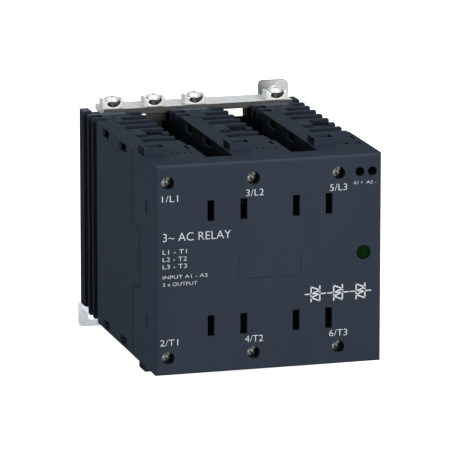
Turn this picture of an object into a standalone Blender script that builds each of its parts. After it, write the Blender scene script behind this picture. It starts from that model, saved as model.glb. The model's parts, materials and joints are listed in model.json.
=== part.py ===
"""Three-phase solid state relay: three phase modules side by side, each a thin plastic housing with a finned heat
sink, joined by one front cover, an upper and a lower steel bracket and a rear plate with hooks and a latch for 35 mm rail.

The design frame is in millimetres: x runs from the left side to the right, y from the front face to the rear
mounting plane, and z from the underside of the modules upwards. Objects are placed in metres, with their origin on
the rear edge of the lower bracket, at mid-width, so that the front looks along -Y and +Z is up.
"""

import math

import bmesh
import bpy
from mathutils import Matrix, Vector

MM = 0.001
GAP = 0.3

# The whole relay
WIDTH = 108.0
HEIGHT = 98.8
DEPTH = 143.0
MOUNT_HEIGHT = 0.5  # the origin's height above the underside of the modules
PHASES = (1, 2, 3)
PITCH = 40.8  # from one phase module to the next

# Front cover: a shell with a finger over each module and an air channel between fingers
COVER_REAR = 41.1
COVER_WALL = 2.0
COVER_FRONT_WALL = 2.2
COVER_EDGE = 1.5
FINGER = 27.7  # width of a finger
CHANNEL_FRONT = 13.2
CHANNEL_REST = PITCH - FINGER - 0.3  # width of an air channel
LUG_REAR = 43.8
LUG_WALL = 1.8
LUG_FOOT = 60.0
SLOT = (3.35, 9.95)  # snap windows of the front face: width and height
SLOT_FROM_WALL = 1.6
SLOT_HEIGHT = 76.45
SLIT_X = (24.0, 25.4)
SLIT_FRONT = 33.0
SIDE_SLOT_Y = (15.4, 18.0)
SIDE_SLOT_Z = (72.9, 79.6)
TAG = (39.5, 69.1, 43.6, 55.1)  # left, right, low and high edge of the marker tag
TAG_THICK = 1.2
TAG_GAP = 0.12
COLLAR = (0.9, 11.6, 23.2, 33.8)  # wire collar: left, right, front and rear, from the module's left side
COLLAR_RISE = 3.5
WIRE_HOLE = (2.7, 10.5, 24.3, 31.3)

# Terminals of the phases
SCREW_X = 5.7
SCREW_Z = 90.5
SCREW_HOLE_RADIUS = 3.05
SCREW_TUBE_RADIUS = 4.1
SCREW_TUBE_REAR = 9.0
HEAD_RADIUS = 2.75
HEAD_FRONT = 4.4
HEAD_THICK = 2.8
SHANK_RADIUS = 1.9
SHANK_END = 21.2
CAGE = (3.4, 17.5, 33.5, 7.8)  # half-width, front, rear and height
CAGE_WALL = 1.0
CAGE_FRONT_WALL = 1.6
BAR_THICK = 1.2
BAR_FRONT = 21.5
BAR_HALF = 2.0
BAR_TOP = 94.0
BAR_FOOT = 72.1
BAR_REAR = 60.0

# Control terminals and status lamp
CONTROL_X = (97.4, 103.4)
CONTROL_HOLE_RADIUS = 2.22
CONTROL_BLOCK = (93.6, 106.5, 2.0, 13.4, 86.6, 94.4)
CONTROL_HEAD_RADIUS = 1.9
CONTROL_HEAD = (9.5, 11.5)
CONTROL_SHANK_RADIUS = 1.1
CONTROL_SHANK_END = 20.0
CONTROL_CAGE = (2.35, 18.5, 31.5, 6.0)
CONTROL_CAGE_WALL = 0.8
CONTROL_CAGE_FRONT_WALL = 1.2
CONTROL_WIRE_X = (16.1, 22.2)  # from the left side of each module
CONTROL_WIRE_Y = (23.3, 27.3)
CONTROL_WIRE_HALF = 2.1
KNOCKOUT = (1.3, 1.2)  # radius of the plug inside a closed opening's groove, and the groove's depth
LAMP = (99.35, 52.4)
LAMP_HOLE_RADIUS = 3.45
LENS_RADIUS = 3.32
LENS_REAR = 4.8

# Phase housing: thin behind the cover, with a wider front block
HOUSING_FRONT = COVER_REAR + GAP
HOUSING_THIN = 9.0
HOUSING_REAR = 107.0
HOUSING_WALL = 1.6
HOUSING_BLOCK = (26.4, 50.6)  # width and rear of the front block
HOUSING_LID = 2.0
TONGUE = (29.2, 34.6, 64.0)  # front, foot and top of the tongue that reaches into the cover's side
WINDOWS_Y = ((53.1, 65.3), (84.3, 96.0))
WINDOW_Z = (93.9, 97.7)
WINDOW_DEPTH = 4.0

# Heat sink: an extrusion along z
FIN_THICK = 2.4
FIN_RIGHT = 26.5
FIN_TOP = 98.5
FIN_CORNER = 0.6
FIN_FRONTS = [52.3 + 10.27 * index for index in range(7)] + [122.4]
FIN_ROOTS = (9.3, 9.3, 9.3, 15.4, 9.3, 9.3, 13.0, 19.5, 19.5)
LEFT_FINS = 2
CORE_LEFT = 6.0
BASE_FRONT = 44.0
BASE_TOP = 96.5
REAR_WALL = (131.7, 139.6)
NOTCHED_FIN = 2
NOTCH_DEPTH = 1.4
NOTCH_RIGHT = 23.0

# Rear plate behind the heat sinks, with hooks for the upper edge of the 35 mm rail
PLATE_X = (6.0, 102.5)
PLATE_Y = (139.9, 140.9)
PLATE_Z = (10.0, 90.1)
PLATE_CORNER = 3.0
LATCH_NOTCH = (29.6, 38.6, 37.0)  # left, right and top
HOOK_WIDTH = 12.0
HOOK_X = (13.5, 54.3, 95.1)
LIP_Y = (142.1, DEPTH)
HOOK_FOOT = 65.9
HOOK_ROOF = (67.4, 68.6)

# Steel brackets, 3 mm, each a flange over the heat sinks with one slotted tab bent away from them
STEEL = 3.0
FLANGE_FRONT = 126.5
FLANGE_Z = (96.8, 99.8)
BEND = 2.4
UPPER_X = (8.7, 103.0)
UPPER_TAB_X = (90.3, 105.0)
UPPER_TAB_TOP = 106.8
LOWER_X = (1.1, 101.0)
LOWER_TAB_X = (-0.9, 13.8)
LOWER_TAB_FOOT = -9.8
TAB_CORNER = 2.2
TAB_SLOT_WIDTH = 5.1
UPPER_SLOT_Z = (98.4, 104.2)
LOWER_SLOT_Z = (-7.3, -1.0)
UPPER_REST_X = (4.1, 103.4)
LOWER_REST_X = (-1.0, 101.4)

# Clamp screws on the upper flange, fixing screws under the lower one
CLAMP_X = [13.5 + PITCH * index for index in range(3)]
EARTH_X = 34.0
CLAMP_Y = 130.2
SADDLE = (10.6, 6.8, 4.5)
SADDLE_FOOT = FLANGE_Z[1] + 0.1
TROUGH = (3.8, 0.8, 3.3)  # half-width, and the heights at which its round floor starts and its straight sides start
M4_HOLE = 2.2
M4_SHANK = 1.75
CLAMP_HEAD = (3.6, 2.5)  # radius and height of the head, which lies in the saddle's trough
FIXING_HEAD = (4.0, 2.8)
BORE_DEPTH = 14.0
FIXING_Y = 132.0

# Clip bar between the brackets, with the sprung rail latch
CLIP_X = (31.2, 37.0)
CLIP_Y = (129.5, 133.8)
CLIP_HEAD_X = (31.2, 37.8)
CLIP_HEAD_Y = (127.0, 133.8)
CLIP_HEAD_FOOT = 84.0
LATCH_X = (30.2, 38.0)
LATCH_Y = (135.2, 139.4)
LATCH_Z = (9.0, 31.5)
LATCH_ARM_FOOT = 28.8
LIP_TOP = 34.2
PULL_X = (32.6, 35.6)
PULL_Y = (136.4, 138.2)
PULL_FOOT = -9.0
PULL_EYE_Z = (-7.4, -4.6)
SPRING_RADIUS = 1.95
SPRING_WIRE = 0.25
SPRING_TURNS = 5
SPRING_STEPS = 16  # points in a turn
SPRING_Z = (2.4, 8.6)

# Inside
POWER_MODULE = (2.4, 5.7, 50.0, 98.0, 27.2, 71.6)
DRIVER_BOARD = (14.0, 15.6, 14.5, 44.0, 18.0, 80.8)
SNUBBER = (15.9, 22.6, 20.0, 38.0, 40.0, 58.0)
BOARD_Y = (7.6, 9.2)
BOARD_BAND = (13.0, 104.5, 36.0, 66.0)  # left, right, low and high edge of the part across the phases
BOARD_RISER = (87.0, 104.5, 79.0)  # left, right and top of the part below the control terminals
CONTACT_SHELF = (83.0, 84.0)
CONTACT_Y = (20.3, 21.5)
LED_RADIUS = 1.5

COLOURS = {
    "slate_plastic": ((0.035, 0.042, 0.055), 0.5, 0.0),
    "black_anodised": ((0.028, 0.032, 0.042), 0.42, 0.4),
    "zinc_steel": ((0.68, 0.69, 0.70), 0.35, 1.0),
    "nickel_steel": ((0.75, 0.75, 0.76), 0.25, 1.0),
    "dark_steel": ((0.03, 0.03, 0.035), 0.45, 0.6),
    "spring_steel": ((0.55, 0.55, 0.56), 0.3, 1.0),
    "tinned_copper": ((0.72, 0.66, 0.58), 0.3, 1.0),
    "potting": ((0.02, 0.02, 0.022), 0.35, 0.0),
    "board": ((0.02, 0.12, 0.05), 0.45, 0.0),
    "capacitor": ((0.62, 0.43, 0.06), 0.4, 0.0),
    "green_lens": ((0.005, 0.07, 0.015), 0.15, 0.0),
    "led_resin": ((0.25, 0.6, 0.3), 0.2, 0.0),
}


def placed(x, y, z):
    """A point of the design frame, as metres in the part's frame."""
    return Vector((x - WIDTH / 2, y - DEPTH, z - MOUNT_HEIGHT)) * MM


def new_object(name, shape):
    mesh = bpy.data.meshes.new(name)
    bmesh.ops.recalc_face_normals(shape, faces=shape.faces)
    shape.to_mesh(mesh)
    shape.free()
    item = bpy.data.objects.new(name, mesh)
    bpy.context.scene.collection.objects.link(item)
    return item


def prism(outline, axis, span):
    """A closed outline pushed along an axis. Its pairs are (y, z), (x, z) or (x, y) for axis x, y or z."""
    order = {"x": (2, 0, 1), "y": (0, 2, 1), "z": (0, 1, 2)}[axis]
    shape = bmesh.new()
    rings = []
    for level in span:
        corners = [(first, second, level) for first, second in outline]
        rings.append([shape.verts.new(placed(*(point[i] for i in order))) for point in corners])
    shape.faces.new(rings[0])
    shape.faces.new(rings[1])
    for index in range(len(outline)):
        after = (index + 1) % len(outline)
        shape.faces.new((rings[0][index], rings[0][after], rings[1][after], rings[1][index]))
    return new_object("prism", shape)


def box(left, right, front, rear, low, high):
    return prism([(left, front), (right, front), (right, rear), (left, rear)], "z", (low, high))


def circle(centre, radius, segments=20):
    turns = [2 * math.pi * (index + 0.5) / segments for index in range(segments)]
    return [(centre[0] + radius * math.cos(turn), centre[1] + radius * math.sin(turn)) for turn in turns]


def arc(centre, radius, start, end, segments=4):
    """Points of an arc between two angles in degrees, both ends included."""
    points = []
    for index in range(segments + 1):
        turn = math.radians(start + (end - start) * index / segments)
        points.append((centre[0] + radius * math.cos(turn), centre[1] + radius * math.sin(turn)))
    return points


def rod(axis, centre, radius, span, segments=20):
    return prism(circle(centre, radius, segments), axis, span)


def combine(target, others, operation):
    """Applies one Boolean after another to the target, and removes the shapes that it used."""
    for other in others:
        step = target.modifiers.new("step", "BOOLEAN")
        step.operation = operation
        step.object = other
        graph = bpy.context.evaluated_depsgraph_get()
        result = bpy.data.meshes.new_from_object(target.evaluated_get(graph))
        target.modifiers.clear()
        target.data = result
        bpy.data.objects.remove(other)
    return target


def joined(target, *others):
    return combine(target, others, "UNION")


def cut(target, *others):
    return combine(target, others, "DIFFERENCE")


def principled(name):
    colour, roughness, metallic = COLOURS[name]
    material = bpy.data.materials.get(name) or bpy.data.materials.new(name)
    material.use_nodes = True
    shader = material.node_tree.nodes["Principled BSDF"]
    shader.inputs["Base Color"].default_value = (*colour, 1)
    shader.inputs["Roughness"].default_value = roughness
    shader.inputs["Metallic"].default_value = metallic
    return material


def node(name, item, material, pivot=None):
    """Names a finished piece and gives it its material and, for a moving piece, an origin on its joint's axis."""
    item.name = name
    item.data.name = name
    item.data.materials.clear()
    item.data.materials.append(principled(material))
    for face in item.data.polygons:
        face.material_index = 0
    item.data.shade_smooth()
    item.data.set_sharp_from_angle(angle=math.radians(35))
    if pivot:
        place = placed(*pivot)
        item.data.transform(Matrix.Translation(-place))
        item.location = place
    return item


def module_left(phase):
    return PITCH * (phase - 1)


# ---------------------------------------------------------------- front cover


def cover_blank():
    shape = box(0, WIDTH, 0, COVER_REAR, 0, HEIGHT)
    rim = bmesh.new()
    rim.from_mesh(shape.data)
    front = placed(0, 0, 0).y
    edges = [edge for edge in rim.edges if all(abs(vert.co.y - front) < 1e-6 for vert in edge.verts)]
    bmesh.ops.bevel(rim, geom=edges, offset=COVER_EDGE * MM, segments=3, affect="EDGES", profile=0.5)
    rim.to_mesh(shape.data)
    rim.free()
    return shape


def finger_sides(phase):
    left = module_left(phase) - (GAP if phase > 1 else 0)
    right = WIDTH if phase == PHASES[-1] else module_left(phase) + FINGER
    return left, right


def cover_hollows():
    inner = (COVER_WALL, HEIGHT - COVER_WALL)
    front_room = box(COVER_WALL, WIDTH - COVER_WALL, COVER_FRONT_WALL, CHANNEL_FRONT - COVER_WALL, *inner)
    rooms = [front_room]
    for phase in PHASES:
        left, right = finger_sides(phase)
        rooms.append(
            box(left + COVER_WALL, right - COVER_WALL, CHANNEL_FRONT - COVER_WALL - 1, COVER_REAR + 1, *inner)
        )
    for phase in PHASES[:-1]:
        channel = finger_sides(phase)[1], finger_sides(phase + 1)[0]
        rooms.append(box(*channel, CHANNEL_FRONT, COVER_REAR + 1, -1, HEIGHT + 1))
    return rooms


def screw_tubes():
    tubes = []
    for phase in PHASES:
        x = module_left(phase) + SCREW_X
        for z in (SCREW_Z, HEIGHT - SCREW_Z):
            tubes.append(rod("y", (x, z), SCREW_TUBE_RADIUS, (COVER_WALL, SCREW_TUBE_REAR)))
    return tubes


def screw_holes():
    holes = []
    for phase in PHASES:
        x = module_left(phase) + SCREW_X
        for z in (SCREW_Z, HEIGHT - SCREW_Z):
            holes.append(rod("y", (x, z), SCREW_HOLE_RADIUS, (-1, SCREW_TUBE_REAR + 1)))
    for x in CONTROL_X:
        holes.append(rod("y", (x, SCREW_Z), CONTROL_HOLE_RADIUS, (-1, CONTROL_BLOCK[3] + 1), 16))
    holes.append(rod("y", LAMP, LAMP_HOLE_RADIUS, (-1, COVER_FRONT_WALL + 1)))
    return holes


def collars():
    shapes = []
    for phase in PHASES:
        left, right, front, rear = COLLAR
        start = module_left(phase)
        for foot, head in ((HEIGHT - 1, HEIGHT + COLLAR_RISE), (-COLLAR_RISE, 1)):
            shapes.append(box(start + left, start + right, front, rear, foot, head))
    return shapes


def wire_holes():
    holes = []
    for phase in PHASES:
        left, right, front, rear = WIRE_HOLE
        start = module_left(phase)
        for low, high in ((HEIGHT - COVER_WALL - 1, HEIGHT + COLLAR_RISE + 1), (-COLLAR_RISE - 1, COVER_WALL + 1)):
            holes.append(box(start + left, start + right, front, rear, low, high))
    return holes


def control_wire_holes():
    """Open over the control terminals, and closed by a plug inside a round groove on the other two modules."""
    plug_radius, groove = KNOCKOUT
    holes = []
    for phase in PHASES:
        closed = phase != PHASES[-1]
        depth = groove if closed else COVER_WALL + 1
        for offset in CONTROL_WIRE_X:
            centre = (module_left(phase) + offset, sum(CONTROL_WIRE_Y) / 2)
            hole = rod("z", centre, CONTROL_WIRE_HALF, (HEIGHT - depth, HEIGHT + 1), 16)
            if closed:
                cut(hole, rod("z", centre, plug_radius, (HEIGHT - depth - 1, HEIGHT + 2), 16))
            holes.append(hole)
    return holes


def snap_windows():
    """Two columns of windows at each air channel, one above and one below the middle."""
    windows = []
    width, height = SLOT
    for phase in PHASES[:-1]:
        right_of_finger = finger_sides(phase)[1]
        left_of_next = finger_sides(phase + 1)[0]
        for middle in (right_of_finger - SLOT_FROM_WALL, left_of_next + SLOT_FROM_WALL - GAP):
            for z in (SLOT_HEIGHT, HEIGHT - SLOT_HEIGHT):
                sides = (middle - width / 2, middle + width / 2)
                windows.append(box(*sides, -1, COVER_FRONT_WALL + 1, z - height / 2, z + height / 2))
    for low, high in (SIDE_SLOT_Z, (HEIGHT - SIDE_SLOT_Z[1], HEIGHT - SIDE_SLOT_Z[0])):
        windows.append(box(-1, COVER_WALL + 1, *SIDE_SLOT_Y, low, high))
    return windows


def tongue_openings():
    front, foot, top = TONGUE
    shapes = []
    for phase in PHASES:
        left = finger_sides(phase)[0]
        shapes.append(box(left - 1, left + COVER_WALL + 1, front - GAP, COVER_REAR + 1, foot - GAP, top + GAP))
    return shapes


def arm_slits():
    """The slits that free the snap arm at the right of each finger."""
    slits = []
    for phase in PHASES:
        start = module_left(phase)
        sides = (start + SLIT_X[0], start + SLIT_X[1]) if phase < 3 else (WIDTH - 3.2, WIDTH - 2.2)
        for low, high in ((HEIGHT - COVER_WALL - 1, HEIGHT + 1), (-1, COVER_WALL + 1)):
            slits.append(box(*sides, SLIT_FRONT, COVER_REAR + 1, low, high))
    return slits


def front_cover():
    cover = cover_blank()
    cut(cover, *cover_hollows())
    lugs = [
        box(WIDTH - LUG_WALL, WIDTH, COVER_REAR - 2, LUG_REAR, LUG_FOOT, HEIGHT),
        box(WIDTH - LUG_WALL, WIDTH, COVER_REAR - 2, LUG_REAR, 0, HEIGHT - LUG_FOOT),
    ]
    joined(cover, *screw_tubes(), box(*CONTROL_BLOCK), *collars(), *lugs)
    left, right, low, high = TAG
    tag_bed = box(left - TAG_GAP, right + TAG_GAP, -1, TAG_THICK + GAP, low - TAG_GAP, high + TAG_GAP)
    cut(cover, *screw_holes(), *wire_holes(), *control_wire_holes(), tag_bed)
    cut(cover, *snap_windows(), *tongue_openings(), *arm_slits())
    node("front_cover", cover, "slate_plastic")


def marker_tag():
    left, right, low, high = TAG
    node("marker_tag", box(left, right, 0.05, TAG_THICK, low, high), "slate_plastic")


# ------------------------------------------------------------- phase modules


def phase_housing(phase):
    start = module_left(phase)
    block_width, block_rear = HOUSING_BLOCK
    low, high = HOUSING_LID, HEIGHT - HOUSING_LID
    inner_left = start + HOUSING_WALL
    shell = box(start, start + HOUSING_THIN, HOUSING_FRONT, HOUSING_REAR, 0, HEIGHT)
    joined(shell, box(start, start + block_width, HOUSING_FRONT, block_rear, 0, HEIGHT))
    room = box(inner_left, start + HOUSING_THIN + 1, HOUSING_FRONT - 1, HOUSING_REAR - HOUSING_WALL, low, high)
    block_room = box(
        inner_left, start + block_width - HOUSING_WALL, HOUSING_FRONT - 1, block_rear - HOUSING_WALL, low, high
    )
    base_slot = box(
        start + CORE_LEFT - GAP, start + HOUSING_THIN + 1, HOUSING_REAR - 3, HOUSING_REAR + 1, low, high
    )
    cut(shell, room, block_room, base_slot)
    for front, rear in WINDOWS_Y:
        for foot, top in (WINDOW_Z, (HEIGHT - WINDOW_Z[1], HEIGHT - WINDOW_Z[0])):
            cut(shell, box(start - 1, start + WINDOW_DEPTH, front, rear, foot, top))
    front, foot, top = TONGUE
    joined(shell, box(start, inner_left, front, HOUSING_FRONT + 2, foot, top))
    if phase == PHASES[-1]:
        lug_left = WIDTH - LUG_WALL - GAP
        cut(shell, box(lug_left, WIDTH + 1, COVER_REAR, LUG_REAR + GAP, LUG_FOOT - GAP, HEIGHT + 1))
        cut(shell, box(lug_left, WIDTH + 1, COVER_REAR, LUG_REAR + GAP, -1, HEIGHT - LUG_FOOT + GAP))
    node(f"phase_housing_{phase}", shell, "slate_plastic")


def heat_sink_outline(start):
    """The comb of fins seen from above, from the front of the base plate round by the right."""
    points = [(CORE_LEFT, BASE_FRONT), (FIN_ROOTS[0], BASE_FRONT)]
    for front, root_before, root_after in zip(FIN_FRONTS, FIN_ROOTS, FIN_ROOTS[1:]):
        rear = front + FIN_THICK
        points += [(root_before, front), (FIN_RIGHT, front), (FIN_RIGHT, rear), (root_after, rear)]
    wall_front, wall_rear = REAR_WALL
    points += [(FIN_ROOTS[-1], wall_front), (FIN_RIGHT, wall_front), (FIN_RIGHT, wall_rear)]
    points += [(0, wall_rear), (0, wall_front), (CORE_LEFT, wall_front)]
    for front in reversed(FIN_FRONTS[-LEFT_FINS:]):
        rear = front + FIN_THICK
        points += [(CORE_LEFT, rear), (0, rear), (0, front), (CORE_LEFT, front)]
    return [(start + x, y) for x, y in points]


def corner_cutter(x, z, side, end, span):
    """Takes the square corner at (x, z) off a row of fins. side and end are +1 or -1, away from the fin."""
    centre = (x - side * FIN_CORNER, z - end * FIN_CORNER)
    round_part = [(side * u, end * v) for u, v in arc((0, 0), FIN_CORNER, 0, 90)]
    outline = [(centre[0] + u, centre[1] + v) for u, v in round_part]
    outline += [(x - side * FIN_CORNER, z + end), (x + side, z + end), (x + side, z - end * FIN_CORNER)]
    return prism(outline, "y", span)


def fin_corners(start):
    low, high = HEIGHT - FIN_TOP, FIN_TOP
    right_span = (BASE_FRONT, REAR_WALL[1] + 1)
    left_span = (HOUSING_REAR + 1, REAR_WALL[1] + 1)
    cutters = []
    for z, end in ((high, 1), (low, -1)):
        cutters.append(corner_cutter(start + FIN_RIGHT, z, 1, end, right_span))
        cutters.append(corner_cutter(start, z, -1, end, left_span))
    return cutters


def flange_rests(start):
    """Cutters of the steps that the brackets' flanges lie in, at the top and at the underside."""
    front, rear = FLANGE_FRONT - GAP, REAR_WALL[1] + 1
    step = FLANGE_Z[0] - GAP
    cutters = []
    for ends, span in ((UPPER_REST_X, (step, HEIGHT + 1)), (LOWER_REST_X, (-1, HEIGHT - step))):
        left = max(start - 1, ends[0])
        right = min(start + FIN_RIGHT + 1, ends[1])
        cutters.append(box(left, right, front, rear, *span))
    return cutters


def heat_sink(phase):
    start = module_left(phase)
    sink = prism(heat_sink_outline(start), "z", (HEIGHT - FIN_TOP, FIN_TOP))
    cut(sink, *fin_corners(start), *flange_rests(start))
    base = (start + CORE_LEFT - 1, start + FIN_ROOTS[0], BASE_FRONT - 1, HOUSING_REAR + GAP)
    cut(sink, box(*base, BASE_TOP, HEIGHT), box(*base, 0, HEIGHT - BASE_TOP))
    front = FIN_FRONTS[NOTCHED_FIN]
    notch = (start + FIN_ROOTS[3], start + NOTCH_RIGHT, front - 1, front + FIN_THICK + 1)
    cut(sink, box(*notch, FIN_TOP - NOTCH_DEPTH, HEIGHT))
    x = CLAMP_X[phase - 1]
    cut(sink, rod("z", (x, CLAMP_Y), M4_HOLE, (HEIGHT - BORE_DEPTH, HEIGHT), 16))
    cut(sink, rod("z", (x, FIXING_Y), M4_HOLE, (0, BORE_DEPTH), 16))
    node(f"heat_sink_{phase}", sink, "black_anodised")


def inner_parts(phase):
    start = module_left(phase)
    for name, size, material in (
        ("power_module", POWER_MODULE, "potting"),
        ("driver_board", DRIVER_BOARD, "board"),
        ("snubber_capacitor", SNUBBER, "capacitor"),
    ):
        left, right, *rest = size
        node(f"{name}_{phase}", box(start + left, start + right, *rest), material)


# ------------------------------------------------------------ phase terminals


def cross_drive(x, z, front, radius):
    """Cutters of the slot and of the shorter cross recess in a screw head that faces the front."""
    width, depth = 0.45, 1.2
    return [
        box(x - radius - 1, x + radius + 1, front - 1, front + depth, z - width, z + width),
        box(x - width, x + width, front - 1, front + depth + 0.3, z - radius * 0.7, z + radius * 0.7),
    ]


def terminal_screw(name, x, z):
    screw = rod("y", (x, z), HEAD_RADIUS, (HEAD_FRONT, HEAD_FRONT + HEAD_THICK))
    joined(screw, rod("y", (x, z), SHANK_RADIUS, (HEAD_FRONT + 1, SHANK_END), 16))
    cut(screw, *cross_drive(x, z, HEAD_FRONT, HEAD_RADIUS))
    node(name, screw, "nickel_steel", (x, HEAD_FRONT, z))


def cage(name, x, z, size, walls, hole):
    half, front, rear, height = size
    side_wall, front_wall = walls
    low, high = z - height / 2, z + height / 2
    ring = box(x - half, x + half, front, rear, low, high)
    room = (x - half + side_wall, x + half - side_wall, front + front_wall, rear - front_wall)
    cut(ring, box(*room, low - 1, high + 1))
    cut(ring, rod("y", (x, z), hole, (front - 1, front + front_wall + 1), 16))
    node(name, ring, "zinc_steel", (x, front, z))


def busbar(name, x, flip):
    """From the tongue that the wire is clamped to, in to the power module. flip turns a height over at the load."""
    tongue = box(x - BAR_HALF, x + BAR_HALF, BAR_FRONT, BAR_FRONT + BAR_THICK, *sorted((flip(BAR_FOOT), flip(BAR_TOP))))
    leg_z = sorted((flip(BAR_FOOT), flip(BAR_FOOT + BAR_THICK)))
    joined(tongue, box(x - BAR_HALF, x - 0.2, BAR_FRONT + 0.1, BAR_REAR, *leg_z))
    node(name, tongue, "tinned_copper")


def phase_terminals(phase):
    x = module_left(phase) + SCREW_X
    for side, flip in (("l", lambda z: z), ("t", lambda z: HEIGHT - z)):
        z = flip(SCREW_Z)
        tail = f"{side}{phase}"
        terminal_screw(f"terminal_screw_{tail}", x, z)
        cage(f"terminal_cage_{tail}", x, z, CAGE, (CAGE_WALL, CAGE_FRONT_WALL), SHANK_RADIUS + GAP)
        busbar(f"busbar_{tail}", x, flip)


# ------------------------------------------------- control terminals and lamp


def control_terminals():
    for number, x in enumerate(CONTROL_X, 1):
        screw = rod("y", (x, SCREW_Z), CONTROL_HEAD_RADIUS, CONTROL_HEAD, 16)
        joined(screw, rod("y", (x, SCREW_Z), CONTROL_SHANK_RADIUS, (CONTROL_HEAD[0] + 1, CONTROL_SHANK_END), 12))
        width = 0.35
        slot = (x - 3, x + 3, CONTROL_HEAD[0] - 1, CONTROL_HEAD[0] + 1, SCREW_Z - width, SCREW_Z + width)
        cut(screw, box(*slot))
        node(f"control_screw_{number}", screw, "nickel_steel", (x, CONTROL_HEAD[0], SCREW_Z))
        walls = (CONTROL_CAGE_WALL, CONTROL_CAGE_FRONT_WALL)
        cage(f"control_cage_{number}", x, SCREW_Z, CONTROL_CAGE, walls, CONTROL_SHANK_RADIUS + GAP)


def control_board():
    """The board behind the front face, with the two contact strips that reach into the control cages."""
    left, right, low, high = BOARD_BAND
    board = box(left, right, *BOARD_Y, low, high)
    left, right, top = BOARD_RISER
    joined(board, box(left, right, *BOARD_Y, high - 1, top))
    rear = BOARD_Y[1]
    for x in CONTROL_X:
        sides = (x - 1.1, x + 1.1)
        joined(board, box(*sides, rear - 0.1, rear + 1, top - 6, CONTACT_SHELF[1]))
        joined(board, box(*sides, rear, CONTACT_Y[1], *CONTACT_SHELF))
        joined(board, box(*sides, *CONTACT_Y, CONTACT_SHELF[0] + 0.1, SCREW_Z + 2))
    node("control_board", board, "board")


def status_lamp():
    node("lamp_lens", rod("y", LAMP, LENS_RADIUS, (0.15, LENS_REAR), 24), "green_lens")
    node("status_led", rod("y", LAMP, LED_RADIUS, (LENS_REAR + GAP, BOARD_Y[0] - GAP), 12), "led_resin")


# ----------------------------------------------------------------- brackets


def tab_outline(sides, tip, root):
    """A tab with two round corners at its tip. It stands up where the tip is above the root, and hangs otherwise."""
    left, right = sides
    up = 1 if tip > root else -1
    corner_z = tip - up * TAB_CORNER
    left_arc = arc((left + TAB_CORNER, corner_z), TAB_CORNER, 180, 180 - 90 * up)
    right_arc = arc((right - TAB_CORNER, corner_z), TAB_CORNER, 90 * up, 0)
    return [(left, root)] + left_arc + right_arc + [(right, root)]


def slot_outline(x, span):
    radius = TAB_SLOT_WIDTH / 2
    low, high = span
    return arc((x, high - radius), radius, 0, 180, 12) + arc((x, low + radius), radius, 180, 360, 12)


def bend_cutter(tab_sides, flip):
    """Rounds the outside of the tab's bend."""
    inner = FLANGE_Z[0]
    outline = arc((DEPTH - BEND, inner + BEND), BEND, 270, 360, 6)
    outline += [(DEPTH + 1, inner + BEND), (DEPTH + 1, inner - 1), (DEPTH - BEND, inner - 1)]
    return prism([(y, flip(z)) for y, z in outline], "x", (tab_sides[0] - 1, tab_sides[1] + 1))


def bracket(name, sides, flip, tab_sides, tab_tip, slot_z, screw_holes):
    """A flat flange with one tab. flip turns the heights over for the bracket at the underside."""
    inner, outer = flip(FLANGE_Z[0]), flip(FLANGE_Z[1])
    plate = box(*sides, FLANGE_FRONT, DEPTH, *sorted((inner, outer)))
    joined(plate, prism(tab_outline(tab_sides, tab_tip, inner), "y", (DEPTH - STEEL, DEPTH)))
    cut(plate, bend_cutter(tab_sides, flip))
    cut(plate, prism(slot_outline(sum(tab_sides) / 2, slot_z), "y", (DEPTH - STEEL - 1, DEPTH + 1)))
    low, high = sorted((flip(FLANGE_Z[0] - 1), flip(FLANGE_Z[1] + 1)))
    for centre in screw_holes:
        cut(plate, rod("z", centre, M4_HOLE, (low, high), 16))
    return node(name, plate, "zinc_steel")


def brackets():
    upper_holes = [(x, CLAMP_Y) for x in (*CLAMP_X, EARTH_X)]
    lower_holes = [(x, FIXING_Y) for x in CLAMP_X]
    bracket("upper_bracket", UPPER_X, lambda z: z, UPPER_TAB_X, UPPER_TAB_TOP, UPPER_SLOT_Z, upper_holes)
    lower = bracket(
        "lower_bracket", LOWER_X, lambda z: HEIGHT - z, LOWER_TAB_X, LOWER_TAB_FOOT, LOWER_SLOT_Z, lower_holes
    )
    way = (PULL_X[0] - 0.4, PULL_X[1] + 0.4, PULL_Y[0] - 0.4, PULL_Y[1] + 0.4)
    cut(lower, box(*way, HEIGHT - FLANGE_Z[1] - 1, HEIGHT - FLANGE_Z[0] + 1))


def pan_screw(x, y, under_head, head, up, length):
    """A pan-head screw. up is +1 with the head on top and -1 with the head underneath."""
    head_radius, head_thick = head
    rim = head_thick * 0.35
    dome = head_thick - rim
    profile = [(head_radius, 0)]
    for turn in (0, 25, 45, 62, 76):
        profile.append((head_radius * math.cos(math.radians(turn)), rim + dome * math.sin(math.radians(turn))))
    shape = bmesh.new()
    rings = []
    for radius, rise in profile:
        rings.append([shape.verts.new(placed(*point, under_head + up * rise)) for point in circle((x, y), radius, 24)])
    shape.faces.new(rings[0])
    shape.faces.new(rings[-1])
    for lower, upper in zip(rings, rings[1:]):
        for index in range(24):
            after = (index + 1) % 24
            shape.faces.new((lower[index], lower[after], upper[after], upper[index]))
    screw = new_object("screw", shape)
    joined(screw, rod("z", (x, y), M4_SHANK, sorted((under_head + up * 0.3, under_head - up * length)), 16))
    crown = under_head + up * head_thick
    recess = sorted((crown - up * 1.5, crown + up))
    reach = head_radius * 0.55
    for half_x, half_y in ((reach, 0.45), (0.45, reach)):
        cut(screw, box(x - half_x, x + half_x, y - half_y, y + half_y, *recess))
    return screw


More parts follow.
